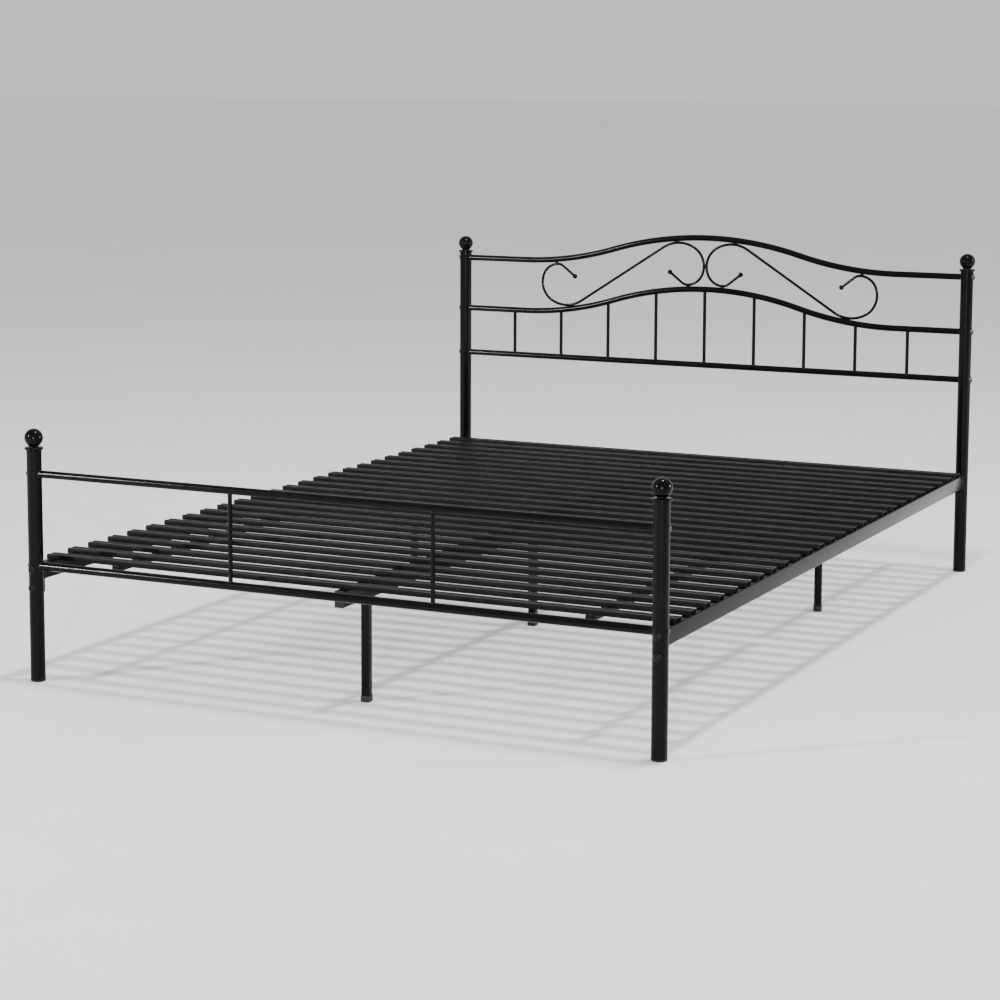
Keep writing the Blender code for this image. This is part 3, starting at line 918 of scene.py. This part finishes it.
def build_side_rails():
    """Rectangular tube, two curved saddles and their weld seams."""
    sizes = bpy.context.scene.bed_base
    seat = bpy.context.scene.bed_tubes.post_radius + 0.0003 + sizes.saddle_plate
    beam_low, beam_high = node_box("centre_beam")
    width = beam_high.x - beam_low.x
    height = beam_high.z - beam_low.z
    lap = 0.0012
    bead = 0.0013
    bead_place = 0.0016
    for side in SIDES:
        name = "side_rail_" + side
        low, high = node_box(name)
        x = (low.x + high.x) / 2.0
        top = high.z
        feet = node_middle("post_foot_" + side).y + seat - lap
        heads = node_middle("post_head_" + side).y - seat + lap
        shape = bmesh.new()
        tube_low = Vector((x - width / 2.0, feet, top - height))
        tube_high = Vector((x + width / 2.0, heads, top))
        rounded_box(shape, tube_low, tube_high, sizes.edge_radius)
        for end, facing in (("foot", 1.0), ("head", -1.0)):
            post = node_middle("post_" + end + "_" + side)
            saddle(shape, Vector((x, post.y, 0.0)), facing, low.z, top)
        make_piece(name + "_tube", shape, "powder_coat", [name])
        beads = bmesh.new()
        for y, facing in ((feet + bead_place, 1.0), (heads - bead_place, -1.0)):
            centre = Vector((x, y, top - height / 2.0))
            seam_bead(beads, centre, width - lap, height - lap, bead, facing)
        make_piece(name + "_seams", beads, "weld_coat", sharp=60.0)


def build_beam():
    """Long rectangular tube with a plastic plug in each end."""
    sizes = bpy.context.scene.bed_base
    low, high = node_box("centre_beam")
    plug = 0.0035
    plug_edge = 0.0014
    lip = Vector((0.0004, 0.0, 0.0002))
    shape = bmesh.new()
    inset = Vector((0.0, plug, 0.0))
    rounded_box(shape, low + inset, high - inset, sizes.edge_radius)
    make_piece("centre_beam_tube", shape, "powder_coat", ["centre_beam"])
    for end, y, facing in (("foot", low.y, 1.0), ("head", high.y, -1.0)):
        cap = bmesh.new()
        near = Vector((low.x, min(y, y + facing * plug), low.z)) - lip
        far = Vector((high.x, max(y, y + facing * plug), high.z)) + lip
        rounded_box(cap, near, far, plug_edge)
        make_piece("centre_beam_plug_" + end, cap, "cap_plastic")


def build_centre_legs():
    """Square tube legs with a head plate under the beam and a moulded cap."""
    sizes = bpy.context.scene.bed_base
    flange = Vector((0.0002, 0.012, 0.0))
    plate = 0.003
    for place in ("foot", "middle", "head"):
        name = "centre_leg_" + place
        low, high = node_box(name)
        skirt = Vector((0.001, 0.001, 0.0))
        shape = bmesh.new()
        start = Vector((low.x, low.y, low.z + sizes.pad_height * 0.6)) + skirt
        rounded_box(shape, start, high - skirt, sizes.edge_radius)
        plate_low = Vector((low.x, low.y, high.z - plate)) - flange
        rounded_box(shape, plate_low, high + flange, 0.0011, 3)
        make_piece(name + "_tube", shape, "powder_coat", [name])
        cap = bmesh.new()
        rounded_box(cap, low, Vector((high.x, high.y, low.z + sizes.pad_height)), 0.0026, 5)
        make_piece(name + "_cap", cap, "cap_plastic")


def build_side_legs():
    """Round tube legs with a flange above and a moulded cap below."""
    sizes = bpy.context.scene.bed_base
    flange = 0.0030
    flange_edge = 0.0008
    cap_edge = 0.0007
    sole_edge = 0.0022
    for side in SIDES:
        name = "side_leg_" + side
        low, high = node_box(name)
        middle = (low + high) / 2.0
        place = Matrix.Translation((middle.x, middle.y, 0.0))
        foot = (high.x - low.x) / 2.0
        radius = foot - 0.001
        shape = bmesh.new()
        profile = [(0.0, high.z)]
        round_corner(profile, (radius + flange, high.z - flange_edge), flange_edge, 90.0, -90.0)
        profile += [(radius + 0.0005, high.z - 0.0018), (radius, high.z - 0.0024)]
        end = low.z + sizes.pad_height * 0.6
        profile += [(radius, end), (0.0, end)]
        lathe(shape, profile, place, 56)
        make_piece(name + "_tube", shape, "powder_coat", [name])
        cap = bmesh.new()
        top = low.z + sizes.pad_height
        profile = [(0.0, top), (radius - 0.0002, top)]
        round_corner(profile, (foot - cap_edge, top - cap_edge), cap_edge, 90.0, 0.0)
        round_corner(profile, (foot - sole_edge, low.z + sole_edge), sole_edge, 0.0, -90.0)
        profile.append((0.0, low.z))
        lathe(cap, profile, place, 56)
        make_piece(name + "_cap", cap, "cap_plastic")


# Slats.


def slat_outline():
    """Closed outline of a pressed slat, as (across, height) about its base."""
    sizes = bpy.context.scene.bed_base
    half = sizes.slat_width / 2.0
    top = sizes.slat_height
    bend = 0.0026
    groove = ((0.0065, 0.0), (0.0045, 0.0004), (0.0030, 0.0009))

    def face(inset):
        """One face of the sheet from edge to edge, moved inwards by the inset."""
        points = [(half - inset, 0.0)]
        round_corner(points, (half - bend, top - bend), bend - inset, 0.0, 90.0, 5)
        points += [(across, top - inset - drop) for across, drop in groove]
        return points + [(-across, height) for across, height in reversed(points)]

    return face(0.0) + list(reversed(face(sizes.slat_sheet)))


def build_slats():
    """Pressed slats welded across two long tubes, in two panels."""
    sizes = bpy.context.scene.bed_base
    outline = slat_outline()
    half = sizes.stringer_width / 2.0
    seed = 0.0
    for end in ENDS:
        name = "slat_panel_" + end
        low, high = node_box(name)
        first = low.y + sizes.stringer_overhang
        pitch = (high.y - low.y - 2.0 * sizes.stringer_overhang) / (sizes.slats_per_panel - 1)
        base = high.z - sizes.slat_height
        slats = bmesh.new()
        tacks = bmesh.new()
        for i in range(sizes.slats_per_panel):
            y = first + pitch * i
            rings = []
            for k in range(25):
                x = low.x + (high.x - low.x) * k / 24.0
                rings.append([Vector((x, y + across, base + height)) for across, height in outline])
            rows = ring_faces(slats, rings)
            slats.faces.new(rows[0])
            slats.faces.new(list(reversed(rows[-1])))
            for x in (-sizes.stringer_x, sizes.stringer_x):
                for edge in (-1.0, 1.0):
                    seed += 1.3
                    spot = Vector((x, y + edge * (sizes.slat_width / 2.0 + 0.0004), base + 0.0006))
                    weld_tack(tacks, spot, Vector((0.0058, 0.0016, 0.0015)), seed)
        make_piece(name + "_slats", slats, "slat_coat", [name])
        tubes = bmesh.new()
        for x in (-sizes.stringer_x, sizes.stringer_x):
            near = Vector((x - half, low.y, low.z))
            rounded_box(tubes, near, Vector((x + half, high.y, base + 0.0004)), 0.0018)
        make_piece(name + "_stringers", tubes, "slat_coat")
        make_piece(name + "_tacks", tacks, "weld_coat", sharp=60.0)


# Bolts.


def hex_radius(turn, flat):
    """Distance from the middle of a hexagon to its edge."""
    sector = math.radians(60.0)
    return flat / math.cos((turn % sector) - sector / 2.0)


def bolt_head(shape, place, crown, seat):
    """Button head with a hexagonal socket."""
    sides = 48
    head = 0.0060
    socket = 0.0021
    tall = crown - seat
    rings = []
    for radius, height, flat in (
        (head, seat - 0.0004, 0.0), (head, seat + tall * 0.17, 0.0), (head * 0.975, seat + tall * 0.36, 0.0),
        (head * 0.90, seat + tall * 0.61, 0.0), (head * 0.77, seat + tall * 0.89, 0.0),
        (head * 0.62, crown, 0.0), (0.0, crown, 0.00225), (0.0, crown - tall * 0.08, socket),
        (0.0, crown - tall * 0.58, socket),
    ):
        ring = []
        for i in range(sides):
            turn = 2.0 * math.pi * i / sides
            reach = radius if flat == 0.0 else hex_radius(turn, flat)
            ring.append(place @ Vector((reach * math.cos(turn), reach * math.sin(turn), height)))
        rings.append(ring)
    rings.append([place @ Vector((0.0, 0.0, crown - tall * 0.75))])
    rows = ring_faces(shape, rings)
    shape.faces.new(rows[0])


def bolt_saddle(shape, place, top, radius):
    """Saddle washer: round outline, domed top, hollow underside on the post."""
    post = bpy.context.scene.bed_tubes.post_radius + 0.0001
    bore = 0.0025
    sides = 64
    rings = []

    def ring(reach, height_of):
        """Round ring of points whose height comes from a function of place."""
        made = []
        for i in range(sides):
            turn = 2.0 * math.pi * i / sides
            x = reach * math.cos(turn)
            y = reach * math.sin(turn)
            made.append(place @ Vector((x, y, height_of(x, y))))
        return made

    def dome(drop):
        """Height of the washer's top, bent mostly the way the post bends."""
        return lambda x, y: top - drop - 0.9 * (y * y) / (2.0 * post) - 0.1 * (x * x) / (2.0 * post)

    def under(x, y):
        """Height of the post's skin."""
        return math.sqrt(post * post - y * y)

    for reach, drop in ((bore, 0.0), (radius * 0.66, 0.0), (radius - 0.0010, 0.0001), (radius, 0.0009)):
        rings.append(ring(reach, dome(drop)))
    rings.append(ring(radius, lambda x, y: min(under(x, y) + 0.0003, dome(0.0012)(x, y))))
    rings.append(ring(radius - 0.0004, under))
    rings.append(ring(bore, under))
    ring_faces(shape, rings, along=True)


def bolt_shank(shape, place, seat, length):
    """Threaded shank as a fine stack of ridges."""
    crest = 0.0030
    root = 0.0026
    pitch = 0.001
    profile = [(0.0, seat)]
    height = seat
    while height > seat - length:
        profile.append((crest, height))
        profile.append((root, height - pitch / 2.0))
        height -= pitch
    profile.append((0.0, height))
    lathe(shape, profile, place, 20)


def build_bolts():
    """Bolt, saddle washer and shank at every joint of a post."""
    names = sorted(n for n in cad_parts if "_bolt_" in n)
    for name in names:
        low, high = node_box(name)
        corner = "_".join(name.split("_")[2:4])
        post = node_middle("post_" + corner)
        middle = (low + high) / 2.0
        if name.startswith("side"):
            out = Vector((0.0, math.copysign(1.0, post.y), 0.0))
            crown = max(abs(low.y), abs(high.y)) - abs(post.y)
            length = high.y - low.y
            finish = "black_zinc_plate"
        else:
            out = Vector((math.copysign(1.0, post.x), 0.0, 0.0))
            crown = max(abs(low.x), abs(high.x)) - abs(post.x)
            length = high.x - low.x
            finish = "zinc_plate"
        along = Vector((0.0, 0.0, 1.0))
        across = along.cross(out)
        turn = Matrix((along, across, out)).transposed().to_4x4()
        place = Matrix.Translation((post.x, post.y, middle.z)) @ turn
        shape = bmesh.new()
        washer = (high.z - low.z) / 2.0
        seat = crown - 0.45 * (crown - bpy.context.scene.bed_tubes.post_radius)
        bolt_head(shape, place, crown, seat)
        bolt_saddle(shape, place, seat, washer)
        bolt_shank(shape, place, seat, length - 0.005)
        make_piece(name + "_set", shape, finish, [name], sharp=32.0)


# Stage.


# Name, place as a share of the bed's diagonal, size in metres and power of each light.
SOFT_BOXES = (
    ("key_left", (-1.50, -2.05, 0.95), (0.16, 1.4), 330.0),
    ("key_right", (2.40, 0.95, 0.60), (0.16, 1.4), 330.0),
    ("front", (1.02, -2.80, 0.42), (0.12, 1.3), 260.0),
    ("overhead", (0.35, -0.20, 1.9), (0.9, 0.3), 230.0),
)


def soft_box(name, place, target, size, power):
    """Narrow rectangular light aimed at a point, out of the camera's sight."""
    light = bpy.data.lights.new(name, "AREA")
    light.shape = "RECTANGLE"
    light.size = size[0]
    light.size_y = size[1]
    light.energy = power
    lamp = bpy.data.objects.new(name, light)
    lamp.location = place
    lamp.rotation_euler = (Vector(target) - Vector(place)).to_track_quat("-Z", "Y").to_euler()
    lamp.visible_camera = False
    bpy.context.scene.collection.objects.link(lamp)
    return lamp


def build_stage():
    """Pale floor, even room light, four soft boxes and the camera."""
    stage = bpy.context.scene.bed_stage
    world = bpy.data.worlds.new("room")
    world.use_nodes = True
    background = world.node_tree.nodes["Background"]
    background.inputs["Color"].default_value = (1.0, 1.0, 1.0, 1.0)
    background.inputs["Strength"].default_value = stage.sky
    bpy.context.scene.world = world
    shape = bmesh.new()
    bmesh.ops.create_grid(shape, x_segments=8, y_segments=8, size=60.0)
    mesh = bpy.data.meshes.new("floor")
    shape.to_mesh(mesh)
    shape.free()
    mesh.materials.append(finish_named("floor_finish"))
    floor = bpy.data.objects.new("floor", mesh)
    floor.location.z = CAD_LOW.z - 0.0002
    bpy.context.scene.collection.objects.link(floor)
    reach = (CAD_HIGH - CAD_LOW).length
    middle = (CAD_HIGH + CAD_LOW) / 2.0
    for name, place, size, power in SOFT_BOXES:
        soft_box(name, Vector(place) * reach, middle, size, power)
    data = bpy.data.cameras.new("camera")
    data.lens = stage.lens
    data.sensor_width = 36.0
    data.shift_x, data.shift_y = stage.shift
    data.clip_end = 200.0
    camera = bpy.data.objects.new("camera", data)
    turn = Matrix.Rotation(stage.heading, 4, "Z")
    turn = turn @ Matrix.Rotation(math.pi / 2.0 - stage.tilt, 4, "X")
    turn = turn @ Matrix.Rotation(stage.roll, 4, "Z")
    camera.matrix_world = Matrix.Translation(Vector(stage.eye)) @ turn
    bpy.context.scene.collection.objects.link(camera)
    bpy.context.scene.camera = camera


# Operators and panel.


class BED_OT_posts(bpy.types.Operator):
    """Make the four post tubes"""

    bl_idname = "bed.posts"
    bl_label = "Posts"

    def execute(self, context):
        build_posts()
        return {"FINISHED"}


class BED_OT_foot_caps(bpy.types.Operator):
    """Make the plastic caps under the posts"""

    bl_idname = "bed.foot_caps"
    bl_label = "Foot caps"

    def execute(self, context):
        build_foot_caps()
        return {"FINISHED"}


class BED_OT_finials(bpy.types.Operator):
    """Make the ball finials"""

    bl_idname = "bed.finials"
    bl_label = "Finials"

    def execute(self, context):
        build_finials()
        return {"FINISHED"}


class BED_OT_cross_rails(bpy.types.Operator):
    """Make the straight cross rails and the beads at the ends of all the rails"""

    bl_idname = "bed.cross_rails"
    bl_label = "Cross rails"

    def execute(self, context):
        build_cross_rails()
        build_rail_beads()
        return {"FINISHED"}


class BED_OT_arches(bpy.types.Operator):
    """Make the arched rails of the headboard"""

    bl_idname = "bed.arches"
    bl_label = "Arches"

    def execute(self, context):
        build_arches()
        return {"FINISHED"}


class BED_OT_spindles(bpy.types.Operator):
    """Make the spindles and their welds"""

    bl_idname = "bed.spindles"
    bl_label = "Spindles"

    def execute(self, context):
        build_spindles()
        build_spindle_welds()
        return {"FINISHED"}


class BED_OT_scrolls(bpy.types.Operator):
    """Make the two rod scrolls and their welds"""

    bl_idname = "bed.scrolls"
    bl_label = "Scrolls"

    def execute(self, context):
        build_scrolls()
        build_scroll_welds()
        return {"FINISHED"}


class BED_OT_side_rails(bpy.types.Operator):
    """Make the side rails with their saddles"""

    bl_idname = "bed.side_rails"
    bl_label = "Side rails"

    def execute(self, context):
        build_side_rails()
        return {"FINISHED"}


class BED_OT_beam_and_legs(bpy.types.Operator):
    """Make the centre beam and the inner legs"""

    bl_idname = "bed.beam_and_legs"
    bl_label = "Beam and legs"

    def execute(self, context):
        build_beam()
        build_centre_legs()
        build_side_legs()
        return {"FINISHED"}


class BED_OT_slats(bpy.types.Operator):
    """Make the slat panels"""

    bl_idname = "bed.slats"
    bl_label = "Slats"

    def execute(self, context):
        build_slats()
        return {"FINISHED"}


class BED_OT_bolts(bpy.types.Operator):
    """Make the bolts with their saddle washers"""

    bl_idname = "bed.bolts"
    bl_label = "Bolts"

    def execute(self, context):
        build_bolts()
        return {"FINISHED"}


class BED_OT_stage(bpy.types.Operator):
    """Make the floor, lights and camera"""

    bl_idname = "bed.stage"
    bl_label = "Stage"

    def execute(self, context):
        build_stage()
        return {"FINISHED"}


OPERATORS = (
    BED_OT_posts, BED_OT_foot_caps, BED_OT_finials, BED_OT_cross_rails, BED_OT_arches, BED_OT_spindles,
    BED_OT_scrolls, BED_OT_side_rails, BED_OT_beam_and_legs, BED_OT_slats, BED_OT_bolts, BED_OT_stage,
)


class BED_PT_panel(bpy.types.Panel):
    """Lists the pieces of the bed frame"""

    bl_label = "Bed Frame"
    bl_idname = "BED_PT_panel"
    bl_space_type = "VIEW_3D"
    bl_region_type = "UI"
    bl_category = "Bed Frame"

    def draw(self, context):
        column = self.layout.column(align=True)
        for operator in OPERATORS:
            column.operator(operator.bl_idname)
        for group in (context.scene.bed_finish, context.scene.bed_stage):
            for name in group.__annotations__:
                self.layout.prop(group, name)


GROUPS = {
    "bed_tubes": BedTubeSettings,
    "bed_base": BedBaseSettings,
    "bed_finish": BedFinishSettings,
    "bed_stage": BedStageSettings,
}


def register():
    for group in GROUPS.values():
        bpy.utils.register_class(group)
    for name, group in GROUPS.items():
        setattr(bpy.types.Scene, name, PointerProperty(type=group))
    for operator in OPERATORS:
        bpy.utils.register_class(operator)
    bpy.utils.register_class(BED_PT_panel)


def unregister():
    bpy.utils.unregister_class(BED_PT_panel)
    for operator in reversed(OPERATORS):
        bpy.utils.unregister_class(operator)
    for name, group in GROUPS.items():
        delattr(bpy.types.Scene, name)
        bpy.utils.unregister_class(group)


def main():
    register()
    for operator in OPERATORS:
        getattr(bpy.ops.bed, operator.bl_idname.split(".")[1])()


if __name__ == "__main__":
    main()
